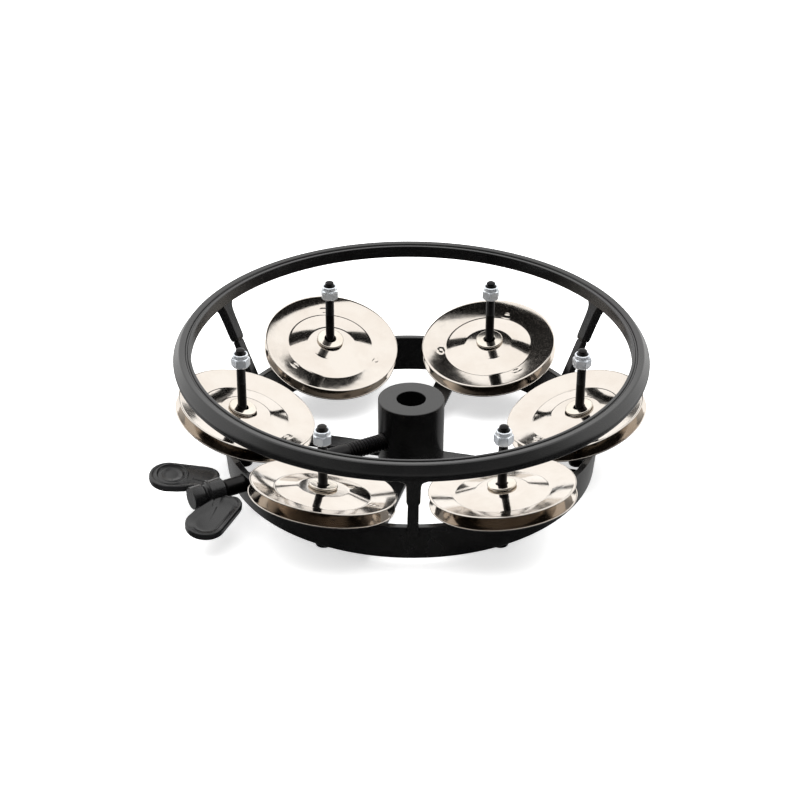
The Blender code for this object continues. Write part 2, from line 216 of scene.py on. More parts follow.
def remap(tree, value, low, high, to_low, to_high):
    node = tree.nodes.new("ShaderNodeMapRange")
    node.inputs["From Min"].default_value = low
    node.inputs["From Max"].default_value = high
    node.inputs["To Min"].default_value = to_low
    node.inputs["To Max"].default_value = to_high
    tree.links.new(value, node.inputs["Value"])
    return node.outputs["Result"]


def calculate(tree, operation, first, second):
    node = tree.nodes.new("ShaderNodeMath")
    node.operation = operation
    tree.links.new(first, node.inputs[0])
    tree.links.new(second, node.inputs[1])
    return node.outputs["Value"]


def blend_colours(tree, factor, first, second):
    node = tree.nodes.new("ShaderNodeMix")
    node.data_type = "RGBA"
    node.inputs["A"].default_value = (*first, 1.0)
    node.inputs["B"].default_value = (*second, 1.0)
    tree.links.new(factor, node.inputs["Factor"])
    return node.outputs["Result"]


def bump(tree, shader, heights):
    """Chain bumps of (height value, distance in metres, strength)."""
    normal = None
    for height, distance, strength in heights:
        node = tree.nodes.new("ShaderNodeBump")
        node.inputs["Distance"].default_value = distance
        node.inputs["Strength"].default_value = strength
        tree.links.new(height, node.inputs["Height"])
        if normal is not None:
            tree.links.new(normal, node.inputs["Normal"])
        normal = node.outputs["Normal"]
    tree.links.new(normal, shader.inputs["Normal"])


def plastic(name, dark, light, rough, grain_height):
    """Moulded plastic: fine moulding grain, faint handling smears in the gloss."""
    material, tree, shader = new_material(name)
    smear = noise(tree, 45.0, 4.0, 0.6)
    tint = remap(tree, smear, 0.35, 0.65, 0.0, 1.0)
    tree.links.new(blend_colours(tree, tint, dark, light), shader.inputs["Base Color"])
    tree.links.new(remap(tree, smear, 0.3, 0.7, rough[0], rough[1]), shader.inputs["Roughness"])
    grain = noise(tree, 2600.0, 2.0)
    swell = noise(tree, 160.0, 2.0)
    bump(tree, shader, [(grain, grain_height, 0.35), (swell, 0.00004, 0.25)])
    return material


def plated(name, clean, dull, rough, wave_height, scratches=True, metallic=1.0):
    """Plated or polished metal: slow waves from stamping, faint scratches and dull patches."""
    material, tree, shader = new_material(name)
    shader.inputs["Metallic"].default_value = metallic
    patches = noise(tree, 70.0, 5.0, 0.6)
    tint = remap(tree, patches, 0.4, 0.72, 0.0, 1.0)
    tree.links.new(blend_colours(tree, tint, clean, dull), shader.inputs["Base Color"])
    fine = noise(tree, 420.0, 6.0, 0.7)
    tree.links.new(remap(tree, fine, 0.35, 0.75, rough[0], rough[1]), shader.inputs["Roughness"])
    heights = [(noise(tree, 95.0, 2.0), wave_height, 0.6)]
    if scratches:
        coordinates = tree.nodes.new("ShaderNodeTexCoord")
        stretch = tree.nodes.new("ShaderNodeMapping")
        stretch.inputs["Rotation"].default_value = (0.0, 0.0, 0.6)
        stretch.inputs["Scale"].default_value = (3200.0, 60.0, 400.0)
        tree.links.new(coordinates.outputs["Object"], stretch.inputs["Vector"])
        lines = noise(tree, 1.0, 3.0, 0.7, stretch.outputs["Vector"])
        heights.append((lines, 0.000004, 0.2))
    bump(tree, shader, heights)
    return material


MATERIALS = {
    "moulded_black": plastic("moulded_black_look", (0.003, 0.003, 0.0032), (0.006, 0.006, 0.006),
                             (0.19, 0.29), 0.00001),
    "moulded_black_wing": plastic("moulded_black_wing_look", (0.006, 0.006, 0.0065), (0.011, 0.011, 0.0115),
                                  (0.22, 0.32), 0.00002),
    "black_oxide_steel": plated("black_oxide_look", (0.018, 0.018, 0.019), (0.035, 0.033, 0.032),
                                (0.3, 0.42), 0.00001, False),
    "zinc_steel": plated("zinc_look", (0.80, 0.84, 0.88), (0.62, 0.65, 0.70), (0.14, 0.24), 0.00003, True, 0.7),
    "black_nylon": plastic("black_nylon_look", (0.01, 0.01, 0.011), (0.02, 0.02, 0.021), (0.45, 0.6), 0.00001),
    "nickel_washer": plated("nickel_washer_look", (0.72, 0.67, 0.60), (0.62, 0.56, 0.48), (0.06, 0.14),
                            0.00003),
    "nickel_jingle": plated("nickel_jingle_look", (0.645, 0.60, 0.55), (0.60, 0.545, 0.49), (0.06, 0.12),
                            0.00005),
    "brass_insert": plated("brass_look", (0.78, 0.58, 0.26), (0.5, 0.34, 0.14), (0.25, 0.4), 0.00002),
}


def finish_piece(obj, body, slot, *nodes):
    """Let a piece ride on its body and stand for its CAD nodes, which it hides. The slot argument is not used."""
    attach(obj, body)
    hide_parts(*nodes)
    return obj


# ---------------------------------------------------------------- where things are

def station_angle(station):
    """Direction of a jingle station from the hub, in whole degrees."""
    low, high = place(f"jingle_screw_{station}")
    middle = low + high
    return round(math.degrees(math.atan2(middle.y, middle.x)))


BASE_Z = place("lower_frame")[0].z
HOOP_LOW, HOOP_HIGH = place("upper_hoop")
HOOP_R = HOOP_HIGH.x
HOOP_TOP = HOOP_HIGH.z
HOOP_RIM_H = 6.6
HOOP_RIM_W = 7.7
HOOP_BOTTOM = HOOP_TOP - HOOP_RIM_H
SHOULDER_Z = HOOP_LOW.z
MOUNTS = {m["name"]: m for m in frame["record"]["mounts"]}
HUB_TOP_Z = MOUNTS["hub_top"]["pos_m"][2] / MM
JOINTS = {j["name"]: j for j in frame["joints"]}
CLAMP_Z = JOINTS["wing_turn"]["pos_m"][2] / MM
CLAMP_AXIS = Vector(JOINTS["wing_turn"]["axis"])
CLAMP_ANGLE = math.degrees(math.atan2(CLAMP_AXIS.y, CLAMP_AXIS.x))

BAND_TOP_Z = BASE_Z + 15.8
BAND_R_BOTTOM = 79.0
BAND_R_TOP = 80.5
BAND_WALL = 3.0
HUB_R = 14.2
BORE_R = 6.25
# The clamp screw's way: its radius, and where it starts and ends in the band and in the hub
CLAMP_WAY_R = 4.0
BAND_WAY = (60.0, 86.0)
HUB_WAY = (2.0, 20.0)
ARM_ANGLES = (75, 165, 255, 345)
ARM_WIDTH = 8.9
ARM_TOP_Z = BASE_Z + 2.0
STATION_ANGLES = {i: station_angle(i) for i in STATIONS}
STATION_R = 72.0
BOSS_TOP_Z = BASE_Z + 15.0
BOSS_R_TOP = 4.5
BOSS_R_BOTTOM = 4.7
BOSS_HOLE_R = 2.2
WEB_WIDTH = 6.0
WEB_HEIGHT = 14.0
WEB_MIDDLE_Z = BASE_Z + 7.2
POST_ANGLES = (30, 150, 270)
POST_FOOT = Vector((78.6, 0.0, BASE_Z + 12.0))
POST_HEAD = Vector((96.2, 0.0, BASE_Z + 51.0))
PEG_TOP_Z = SHOULDER_Z + 11.4


# ---------------------------------------------------------------- moulded frame

def post_ring(height, width, depth, cut):
    """A rounded section across a post's leaning centre line."""
    lean = (POST_HEAD - POST_FOOT).normalized()
    outwards = Vector((0.0, 1.0, 0.0)).cross(lean)
    centre = POST_FOOT.lerp(POST_HEAD, (height - POST_FOOT.z) / (POST_HEAD.z - POST_FOOT.z))
    return [centre + Vector((0.0, a, 0.0)) + outwards * b for a, b in rounded_box(width, depth, cut)]


def build_hoop():
    """Hoop with a lip, a groove and a ridge on top, and the sleeves that hang over the posts' pegs."""
    low, top = HOOP_BOTTOM, HOOP_TOP
    inner = HOOP_R - HOOP_RIM_W
    profile = rounded([
        (inner, low + 0.9, 0.6), (inner, top - 0.5, 0.3), (inner + 1.2, top - 0.42, 0.35),
        (inner + 1.45, top - 1.15, 0.3), (inner + 2.15, top - 1.15, 0.3), (inner + 2.5, top - 0.3, 0.3),
        (inner + 4.9, top, 0.6), (HOOP_R - 0.3, top - 3.5, 0.9), (HOOP_R, low + 2.0, 0.9),
        (HOOP_R - 0.5, low, 0.8), (inner + 0.6, low + 0.4, 0.5),
    ], 5)
    shape = Shape().lathe(profile, 288)
    for angle in POST_ANGLES:
        # Height, width, depth and corner cut of a sleeve, which flares where it meets the hoop
        sections = [
            (SHOULDER_Z, 4.6, 3.4, 0.8), (SHOULDER_Z + 0.5, 5.2, 3.9, 0.9), (SHOULDER_Z + 1.4, 5.6, 4.3, 1.0),
            (low - 7.0, 5.8, 4.5, 1.1), (low - 3.5, 6.1, 4.6, 1.1), (low - 1.8, 7.0, 4.9, 1.1),
            (low - 0.6, 8.8, 5.3, 1.2), (low + 0.6, 12.4, 5.6, 1.2),
        ]
        rings = [post_ring(*section) for section in sections]
        shape.rings(rings, about_z(angle), cap_start=True, cap_end=True)
    obj = weigh_normals(shape.build("hoop", MATERIALS["moulded_black"], 40))
    return finish_piece(obj, "frame", "moulded_black", "upper_hoop")


def build_band():
    low, top = BASE_Z, BAND_TOP_Z
    band = rounded([
        (BAND_R_TOP - BAND_WALL, top, 0.6), (BAND_R_TOP, top, 0.6), (BAND_R_BOTTOM, low, 0.6),
        (BAND_R_BOTTOM - BAND_WALL, low, 0.4),
    ], 4)
    return Shape().lathe(band, 288)


def build_frame():
    """Band, hub, arms, bosses and posts. Joined pieces sink into each other, so no seam shows."""
    band = build_band().build("band", MATERIALS["moulded_black"], 40)
    way = Shape().lathe(rod(CLAMP_WAY_R, *BAND_WAY), 48, False, clamp_matrix())
    subtract(band, way.build("way", MATERIALS["moulded_black"]))
    hub_profile = rounded([(BORE_R, BASE_Z, 0.3), (BORE_R, HUB_TOP_Z, 0.35),
                           (HUB_R, HUB_TOP_Z, 0.45), (HUB_R, BASE_Z, 0.3)], 4)
    hub = Shape().lathe(hub_profile, 128).build("hub", MATERIALS["moulded_black"], 40)
    way = Shape().lathe(rod(CLAMP_WAY_R, *HUB_WAY), 48, False, clamp_matrix())
    subtract(hub, way.build("way", MATERIALS["moulded_black"]))

    shape = Shape()
    for angle in ARM_ANGLES:
        section = rounded_box(ARM_WIDTH, ARM_TOP_Z - BASE_Z, 0.5)
        middle = (ARM_TOP_Z + BASE_Z) / 2
        ends = (HUB_R - 1.0, BAND_R_BOTTOM - BAND_WALL / 2)
        rings = [[(r, a, middle + b) for a, b in section] for r in ends]
        shape.rings(rings, about_z(angle), cap_start=True, cap_end=True)
    for angle in STATION_ANGLES.values():
        boss = rounded([(BOSS_HOLE_R, BASE_Z, 0.2), (BOSS_HOLE_R, BOSS_TOP_Z, 0.2),
                        (BOSS_R_TOP, BOSS_TOP_Z, 0.4), (BOSS_R_BOTTOM, BASE_Z, 0.2)], 3)
        shape.lathe(boss, 48, True, Matrix.Translation(polar(STATION_R, angle)))
        web = rounded_box(WEB_WIDTH, WEB_HEIGHT, 0.4)
        ends = (STATION_R + 3.2, BAND_R_BOTTOM - BAND_WALL / 2)
        rings = [[(r, a, WEB_MIDDLE_Z + b) for a, b in web] for r in ends]
        shape.rings(rings, about_z(angle), cap_start=True, cap_end=True)
    for angle in POST_ANGLES:
        # A post from the band to the step, then the peg inside the sleeve
        sections = [
            (POST_FOOT.z, 4.9, 3.4, 0.7), (BAND_TOP_Z - 0.5, 4.9, 3.4, 0.7), (BAND_TOP_Z + 0.4, 4.6, 3.3, 0.7),
            (SHOULDER_Z - 0.9, 4.4, 3.2, 0.7), (SHOULDER_Z - 0.3, 4.1, 2.9, 0.6),
            (SHOULDER_Z - 0.25, 3.2, 2.1, 0.4), (PEG_TOP_Z, 3.2, 2.1, 0.4),
        ]
        rings = [post_ring(*section) for section in sections]
        shape.rings(rings, about_z(angle), cap_start=True, cap_end=True)
    rest = shape.build("arms", MATERIALS["moulded_black"], 40)

    with bpy.context.temp_override(active_object=band, selected_editable_objects=[band, hub, rest]):
        bpy.ops.object.join()
    band.name = "band_and_hub"
    weigh_normals(band)
    return finish_piece(band, "frame", "moulded_black", "lower_frame")


# ---------------------------------------------------------------- screws and nuts

def rod(radius, low, high):
    """Profile of a plain cylinder, for a cutter."""
    return [(0.0, high), (radius, high), (radius, low), (0.0, low)]


def clamp_matrix():
    """Lays a shape turned about Z along the clamp screw, with +Z outwards and +X up."""
    outwards = polar(1.0, CLAMP_ANGLE)
    up = Vector((0.0, 0.0, 1.0))
    side = outwards.cross(up)
    turn = Matrix((up, side, outwards)).transposed().to_4x4()
    return Matrix.Translation((0.0, 0.0, CLAMP_Z)) @ turn


def thread_rings(radius, depth, pitch, low, high, steps, per_turn=8):
    """Rings of a right-hand thread that fades out at both ends."""
    count = max(2, int((high - low) / pitch * per_turn))
    rings = []
    for k in range(count + 1):
        z = low + (high - low) * k / count
        fade = smoothstep((z - low) / pitch) * smoothstep((high - z) / pitch)
        ring = []
        for i in range(steps):
            angle = 2 * math.pi * i / steps
            phase = (z / pitch - i / steps) % 1.0
            cut = min(1.0, max(0.0, abs(phase - 0.5) * 2.6 - 0.35)) * depth * fade
            ring.append(((radius - cut) * math.cos(angle), (radius - cut) * math.sin(angle), z))
        rings.append(ring)
    return rings


def hex_radius(angle, across_flats):
    """Distance from a hexagon's middle to its side at an angle."""
    return across_flats / 2 / math.cos((angle + math.pi / 6) % (math.pi / 3) - math.pi / 6)


def build_screws():
    """Black cap screws, head down, with a hex socket below and a thread at the upper end."""
    radius = 1.95
    head_r = 3.5
    head_h = 3.7
    socket_af = 3.0
    socket_depth = 2.0
    thread_length = 17.0
    thread_depth = 0.28
    pitch = 0.7
    steps = 24
    for i in STATIONS:
        low, high = place(f"jingle_screw_{i}")
        centre = (low + high) / 2
        shape = Shape()
        at = Matrix.Translation((centre.x, centre.y, 0.0))
        tip = high.z
        turns = [2 * math.pi * k / steps for k in range(steps)]
        hexagon = [(hex_radius(a, socket_af) * math.cos(a), hex_radius(a, socket_af) * math.sin(a))
                   for a in turns]
        rings = [[(x, y, low.z + socket_depth) for x, y in hexagon],
                 [(x, y, low.z + 0.15) for x, y in hexagon],
                 ring_of(1.85, low.z, steps), ring_of(head_r - 0.35, low.z, steps),
                 ring_of(head_r - 0.1, low.z + 0.1, steps), ring_of(head_r, low.z + 0.4, steps),
                 ring_of(head_r, low.z + head_h - 0.3, steps), ring_of(head_r - 0.3, low.z + head_h, steps),
                 ring_of(radius, low.z + head_h, steps), ring_of(radius, tip - thread_length - 0.3, steps)]
        rings += thread_rings(radius, thread_depth, pitch, tip - thread_length, tip - pitch, steps, 6)
        rings += [ring_of(radius - 0.25, tip - 0.45, steps), ring_of(radius - 0.75, tip - 0.12, steps),
                  ring_of(0.7, tip, steps)]
        shape.rings(rings, at, cap_start=True, cap_end=True)
        obj = shape.build(f"stud_{i}", MATERIALS["black_oxide_steel"], 40)
        finish_piece(obj, "frame", "black_oxide_steel", f"jingle_screw_{i}")


# How far each nut happens to be turned
NUT_TURN = {1: 20, 2: 50, 3: 10, 4: 35, 5: 5, 6: 25}


def build_nuts():
    """Zinc lock nuts: a hexagon with bevelled ends, a round collar above it and a dark ring inside."""
    flats = 7.0
    corner_r = 4.2
    collar_r = 3.3
    collar_h = 1.8
    seat_r = 2.75
    hole_r = 2.1
    ring_bore_r = 2.02
    ring_r = 2.62
    steps = 72
    for i in STATIONS:
        low, high = place(f"lock_nut_{i}")
        centre = (low + high) / 2
        at = Matrix.Translation((centre.x, centre.y, 0.0)) @ about_z(NUT_TURN[i])
        hex_top = high.z - collar_h
        # Heights on the hexagon, and the circle that cuts its corners back there
        limits = ((low.z, 3.35), (low.z + 0.2, 3.55), (low.z + 0.55, corner_r), (hex_top - 0.6, corner_r),
                  (hex_top - 0.25, 3.75), (hex_top, 3.42))
        rings = []
        for z, limit in limits:
            ring = []
            for k in range(steps):
                angle = 2 * math.pi * k / steps
                r = min(limit, hex_radius(angle, flats))
                ring.append((r * math.cos(angle), r * math.sin(angle), z))
            rings.append(ring)
        for r, z in ((collar_r, hex_top + 0.15), (collar_r - 0.02, high.z - 0.55),
                     (collar_r - 0.18, high.z - 0.18), (2.85, high.z), (2.6, high.z - 0.08),
                     (2.5, high.z - 0.4), (seat_r, high.z - 0.6),
                     (seat_r, hex_top), (hole_r, hex_top), (hole_r, low.z + 0.3), (hole_r + 0.3, low.z)):
            rings.append(ring_of(r, z, steps))
        obj = Shape().rings(rings, at, close_rings=True).build(f"nut_{i}", MATERIALS["zinc_steel"], 30)
        weigh_normals(obj)
        finish_piece(obj, "frame", "zinc_steel", f"lock_nut_{i}")

        ring_low, ring_high = place(f"nylon_ring_{i}")
        profile = rounded([(ring_bore_r, ring_low.z, 0.2), (ring_bore_r, ring_high.z, 0.3),
                           (ring_r, ring_high.z, 0.25), (ring_r, ring_low.z, 0.2)], 3)
        nylon = Shape().lathe(profile, 40, True, Matrix.Translation((centre.x, centre.y, 0.0)))
        obj = nylon.build(f"locking_ring_{i}", MATERIALS["black_nylon"], 50)
        finish_piece(obj, "frame", "black_nylon", f"nylon_ring_{i}")


# ---------------------------------------------------------------- jingles and washers

def lie_of(node, side):
    """Frame of a turned CAD piece: +Z along its axis, the origin on its lowest (-1) or highest (+1) plane."""
    points = np.array([v.co for v in frame["nodes"][node].data.vertices], float) / MM
    points = np.unique(points.round(3), axis=0)
    centre = points.mean(axis=0)
    _, vectors = np.linalg.eigh(np.cov((points - centre).T))
    axis = vectors[:, 0] * (1 if vectors[2, 0] > 0 else -1)
    heights = (points - centre) @ axis
    offset = heights.min() if side < 0 else heights.max()
    up = Vector(axis)
    outwards = Vector((centre[0], centre[1], 0.0))
    along = (outwards - up * outwards.dot(up)).normalized()
    turn = Matrix((along, up.cross(along), up)).transposed().to_4x4()
    return Matrix.Translation(Vector(centre) + up * offset) @ turn


JINGLE_R = 30.0
JINGLE_HOLE_R = 4.4
JINGLE_SHEET = 0.6
LOWER_MARK_TURN = 70
# Slope of the sheet at a radius: flat crown, fall to the valley, rise to the rim
JINGLE_SLOPES = ((0.0, 0.0), (9.9, 0.0), (10.9, -0.184), (18.9, -0.184), (20.1, 0.234), (30.0, 0.234))
MARK_R = 21.6
MARK_ANGLES = (0, 118, 238)


def dish_heights(radii):
    """Height of the sheet over its valley at each radius, by adding up the slope."""
    knots = [r for r, _ in JINGLE_SLOPES]
    slopes = [t for _, t in JINGLE_SLOPES]
    fine = np.linspace(0.0, JINGLE_R, 3001)
    slope = np.interp(fine, knots, slopes)
    height = np.concatenate([[0.0], np.cumsum((slope[1:] + slope[:-1]) / 2 * np.diff(fine))])
    height -= height.min()
    return np.interp(radii, fine, height)


def mark(x, y):
    """Three small stamped marks just outside the valley, each a low ring with a dot in it."""
    height = 0.0
    for angle in MARK_ANGLES:
        centre = polar(MARK_R, angle)
        distance = math.hypot(x - centre.x, y - centre.y)
        if distance < 3.5:
            height += 0.13 * math.exp(-((distance - 1.25) / 0.42) ** 2) - 0.05 * math.exp(-(distance / 2.1) ** 2)
    return height


def swell(radius, angle, phase):
    """Unevenness that stamping leaves in the sheet."""
    edge = smoothstep((radius - 5.0) / 12.0)
    return edge * (0.020 * math.sin(2 * angle + phase) + 0.010 * math.sin(3 * angle - 1.7 * phase)
                   + 0.005 * math.sin(5 * angle + radius / 3.0 + phase))


def build_jingle(name, node, side, turn):
    """One dished jingle: side +1 has its rim up, -1 has it down. Turn brings its marks round."""
    steps = 160
    radii = np.concatenate([[JINGLE_HOLE_R + 0.12], np.arange(5.0, 9.6, 0.9), np.arange(9.7, 11.3, 0.2),
                            np.arange(11.6, 18.4, 0.5), np.arange(18.6, 20.6, 0.2),
                            np.arange(20.8, 24.0, 0.28), np.arange(24.4, 29.3, 0.5), [29.5]])
    heights = dish_heights(radii)
    lift = JINGLE_SHEET if side > 0 else 0.0
    top = [(r, side * z + lift) for r, z in zip(radii, heights)]
    edge_z = top[-1][1] - JINGLE_SHEET / 2
    edge = [(JINGLE_R - 0.3 + 0.3 * math.cos(a), edge_z + 0.3 * math.sin(a))
            for a in (math.radians(d) for d in (60, 30, 0, -30, -60))]
    bottom = [(r, z - JINGLE_SHEET) for r, z in reversed(top)]
    hole = [(JINGLE_HOLE_R, bottom[-1][1] + 0.15), (JINGLE_HOLE_R, top[0][1] - 0.15)]
    phase = 0.9 * turn
    rings = []
    for index, (r, z) in enumerate(top + edge + bottom + hole):
        ring = []
        for x, y, h in ring_of(r, z, steps):
            h += swell(r, math.atan2(y, x), phase)
            if index < len(top):
                h += mark(x, y)
            ring.append((x, y, h))
        rings.append(ring)
    matrix = lie_of(node, -side) @ about_z(turn)
    obj = Shape().rings(rings, matrix, close_rings=True).build(name, MATERIALS["nickel_jingle"], 60)
    return finish_piece(obj, node, "nickel_jingle", node)


# Where the first mark of each upper jingle lies, counted from the direction away from the hub
MARK_TURN = {1: 216, 2: 5, 3: 103, 4: 150, 5: 95, 6: 91}


def build_jingles():
    for i in STATIONS:
        build_jingle(f"upper_disc_{i}", f"jingle_upper_{i}", 1, MARK_TURN[i])
        build_jingle(f"lower_disc_{i}", f"jingle_lower_{i}", -1, MARK_TURN[i] + LOWER_MARK_TURN)


def build_washers():
    hole_r, rim_r = 2.4, 5.98
    bottom, top = 0.05, 1.15
    for i in STATIONS:
        matrix = lie_of(f"washer_{i}", -1)
        profile = rounded([(hole_r, bottom, 0.2), (hole_r, top, 0.45),
                           (rim_r, top, 0.5), (rim_r, bottom, 0.5)], 5)
        obj = Shape().lathe(profile, 72, True, matrix).build(f"flat_washer_{i}", MATERIALS["nickel_washer"], 60)
        weigh_normals(obj)
        finish_piece(obj, f"washer_{i}", "nickel_washer", f"washer_{i}")


# ---------------------------------------------------------------- clamp screw and wing

WING_CENTRE = 91.3
WING_TURN = -7.0
PETAL_TOP = 1.2
PETAL_BOTTOM = -1.8
COLLAR_FROM = 90.0
MEDAL_AT = (13.6, 17.2)
MEDAL_R = 6.5
DISH_DEPTH = 1.05


def build_clamp_screw():
    """Threaded towards the hub and smooth towards the wing, with a core that sinks into the collar."""
    steps = 48
    radius = 3.7
    core_r = 2.6
    core_end = 93.2
    tip = 2.2
    thread_depth = 0.62
    pitch = 1.5
    thread_end = 32.0
    shank_end = COLLAR_FROM - 0.4
    rings = [ring_of(r, z, steps) for r, z in ((2.4, tip), (2.7, tip + 0.12), (3.1, tip + 0.8))]
    rings += thread_rings(radius, thread_depth, pitch, tip + 1.2, thread_end, steps, 10)
    for r, z in ((radius, thread_end + 0.3), (radius, shank_end - 0.9), (radius - 0.25, shank_end - 0.3),
                 (radius - 0.8, shank_end), (core_r, shank_end), (core_r, core_end)):
        rings.append(ring_of(r, z, steps))
    shape = Shape().rings(rings, clamp_matrix(), cap_start=True, cap_end=True)
    obj = weigh_normals(shape.build("clamp_shank", MATERIALS["black_oxide_steel"], 40))
    finish_piece(obj, "clamp_screw", "black_oxide_steel", "clamp_screw")


def build_insert():
    """The clamp screw's brass insert, knurled outside."""
    low, high = 7.2, 12.2
    bore_r, end_r, knurl_r = 3.85, 4.9, 5.18
    groove = 0.16
    steps = 96
    rings = []
    for r, z, cut in ((bore_r, low, 0.0), (end_r, low, 0.0), (knurl_r, low + 0.3, groove),
                      (knurl_r, high - 0.3, groove), (end_r, high, 0.0), (bore_r, high, 0.0)):
        ring = []
        for k in range(steps):
            angle = 2 * math.pi * k / steps
            reach = r - (cut if k % 4 < 2 else 0.0)
            ring.append((reach * math.cos(angle), reach * math.sin(angle), z))
        rings.append(ring)
    shape = Shape().rings(rings, clamp_matrix(), close_rings=True)
    obj = shape.build("insert", MATERIALS["brass_insert"], 30)
    finish_piece(obj, "frame", "brass_insert", "threaded_insert")


def petal_outline():
    """Wing outline as (along the screw, away from it), in steps of less than a millimetre."""
    end_along, end_out, end_r = 14.9, 17.2, 8.28
    arc_from, arc_to, arc_steps = 51, 247, 40
    longest = 0.7
    corners = [(-0.7, 2.6, 0.0), (-0.9, 5.6, 0.5), (-2.6, 6.7, 0.8), (-4.0, 7.8, 1.0), (-4.6, 10.2, 1.6),
               (-4.0, 12.8, 1.6), (-2.2, 14.9, 1.4)]
    arc = []
    for k in range(arc_steps + 1):
        angle = math.radians(arc_from + (arc_to - arc_from) * k / arc_steps)
        arc.append((end_along - end_r * math.cos(angle), end_out + end_r * math.sin(angle)))
    tail = [(15.7, 8.2, 0.8), (13.2, 7.2, 1.0), (9.7, 6.1, 0.8), (7.0, 5.0, 0.8), (5.2, 2.6, 0.0)]
    first = rounded(corners + [(arc[0][0], arc[0][1], 0.0)], 3, False)[:-1]
    last = rounded([(arc[-1][0], arc[-1][1], 0.0)] + tail, 3, False)[1:]
    coarse = first + arc + last
    fine = []
    for here, after in zip(coarse, coarse[1:] + coarse[:1]):
        here, after = Vector(here[:2]), Vector(after[:2])
        count = max(1, math.ceil((after - here).length / longest))
        fine += [tuple(here.lerp(after, k / count)) for k in range(count)]
    return fine


def offset_inwards(points, distance):
    """Move each corner of a clockwise or anticlockwise outline inwards."""
    n = len(points)
    area = sum(points[i][0] * points[(i + 1) % n][1] - points[(i + 1) % n][0] * points[i][1] for i in range(n))
    turn = 1 if area > 0 else -1
    moved = []
    for i in range(n):
        before, here, after = (Vector(points[(i + d) % n]) for d in (-1, 0, 1))
        a = (here - before).normalized()
        b = (after - here).normalized()
        normal = Vector((-(a.y + b.y), a.x + b.x)) * turn
        if normal.length < 1e-6:
            normal = Vector((-a.y, a.x)) * turn
        normal.normalize()
        stretch = 1.0 / max(0.5, normal.dot(Vector((-a.y, a.x)) * turn))
        moved.append(tuple(here + normal * distance * stretch))
    return moved


def petal_shape(shape, side, dished, matrix):
    """A wing with a raised rounded border; one wing is dished and the other has a round plain medal."""
    outline = petal_outline()
    top = PETAL_TOP
    rings = []

    def add(points, height):
        rings.append([(height, side * out, WING_CENTRE + along) for along, out in points])

    for inset, height in ((0.7, PETAL_BOTTOM), (0.2, PETAL_BOTTOM + 0.15), (0.0, PETAL_BOTTOM + 0.6),
                          (0.0, top - 0.75), (0.12, top - 0.35), (0.4, top - 0.08), (0.8, top),
                          (1.15, top - 0.06)):
        add(offset_inwards(outline, inset) if inset else outline, height)
    border_drop = 0.3 if dished else 0.25
    inner = offset_inwards(outline, 1.45)
    add(inner, top - border_drop)
    rim = [(p[0] - MEDAL_AT[0], p[1] - MEDAL_AT[1]) for p in inner]
    if dished:
        for share in (0.95, 0.9, 0.82, 0.72, 0.6, 0.45, 0.3, 0.15, 0.03):
            depth = smoothstep((1.0 - share) / 0.32)
            add([(MEDAL_AT[0] + a * share, MEDAL_AT[1] + b * share) for a, b in rim],
                top - border_drop - (DISH_DEPTH - border_drop) * depth)
    else:
        circle = [Vector(p).normalized() * min(MEDAL_R + 0.55, Vector(p).length * 0.99) for p in rim]
        for share in (0.12, 0.35, 0.6, 0.85, 1.0):
            drop = border_drop + 0.25 * smoothstep(share / 0.2) if share < 1.0 else 0.42
            add([(MEDAL_AT[0] + a + (c.x - a) * share, MEDAL_AT[1] + b + (c.y - b) * share)
                 for (a, b), c in zip(rim, circle)], top - drop)
        middle_r = 2.4
        for radius, height in ((MEDAL_R + 0.3, top - 0.1), (MEDAL_R, top - 0.02), (MEDAL_R - 0.3, top - 0.1),
                               (MEDAL_R - 0.5, top - 0.6), (MEDAL_R - 0.8, top - 0.85),
                               (MEDAL_R - 1.6, top - 0.8), (MEDAL_R - 1.8, top - 0.6),
                               (MEDAL_R - 2.2, top - 0.55), (MEDAL_R - 2.4, top - 0.72),
                               (middle_r, top - 0.75), (0.2, top - 0.75)):
            add([(MEDAL_AT[0] + c.normalized().x * radius, MEDAL_AT[1] + c.normalized().y * radius)
                 for c in circle], height)
    shape.rings(rings, matrix, cap_start=True, cap_end=True)


def build_wing():
    """Collar, neck and knob turned as one, with a petal on each side."""
    matrix = clamp_matrix()
    tilted = matrix @ about_z(WING_TURN)
    shape = Shape()
    collar = rounded([
        (0.0, 104.4, 0.0), (4.8, 104.4, 0.35), (4.8, 99.6, 0.45), (3.95, 98.4, 0.3), (4.0, 97.9, 0.3),
        (4.9, 97.3, 0.3), (5.0, 97.0, 0.15), (5.55, 97.0, 0.25), (5.6, 96.2, 0.3), (5.15, 95.9, 0.2),
        (5.3, 90.4, 0.6), (4.4, COLLAR_FROM, 0.3), (2.8, COLLAR_FROM, 0.1), (2.8, 91.0, 0.0), (0.0, 91.0, 0.0),
    ], 4, False)
    shape.lathe(collar, 72, False, matrix)
    petal_shape(shape, -1, True, tilted)
    petal_shape(shape, 1, False, tilted)
    obj = weigh_normals(shape.build("wing", MATERIALS["moulded_black_wing"], 40))
    finish_piece(obj, "wing_head", "moulded_black_wing", "wing_head")


# ---------------------------------------------------------------- studio

# Places and sizes in this section are metres, and angles are degrees
DOME_CENTRE = 24.0
DOME_STRENGTH = 1.5
DARK_STRENGTH = 0.02
STRIP_STRENGTH = 0.4
TABLE_GLOW = 0.6
TABLE_HALF = 12.0
TABLE_DROP = 0.0002
LAMP_AT = (0.0, 0.1, 1.6)
LAMP_SIZE = (2.4, 2.0)
LAMP_POWER = 30.0
CAMERA_LENS = 95.62
CAMERA_SHIFT = (-0.0134, 0.0692)
CAMERA_DISTANCE = 0.9203
CAMERA_TILT = 31.6185
CAMERA_SIDE = -0.7639
CAMERA_ROLL = 0.4641


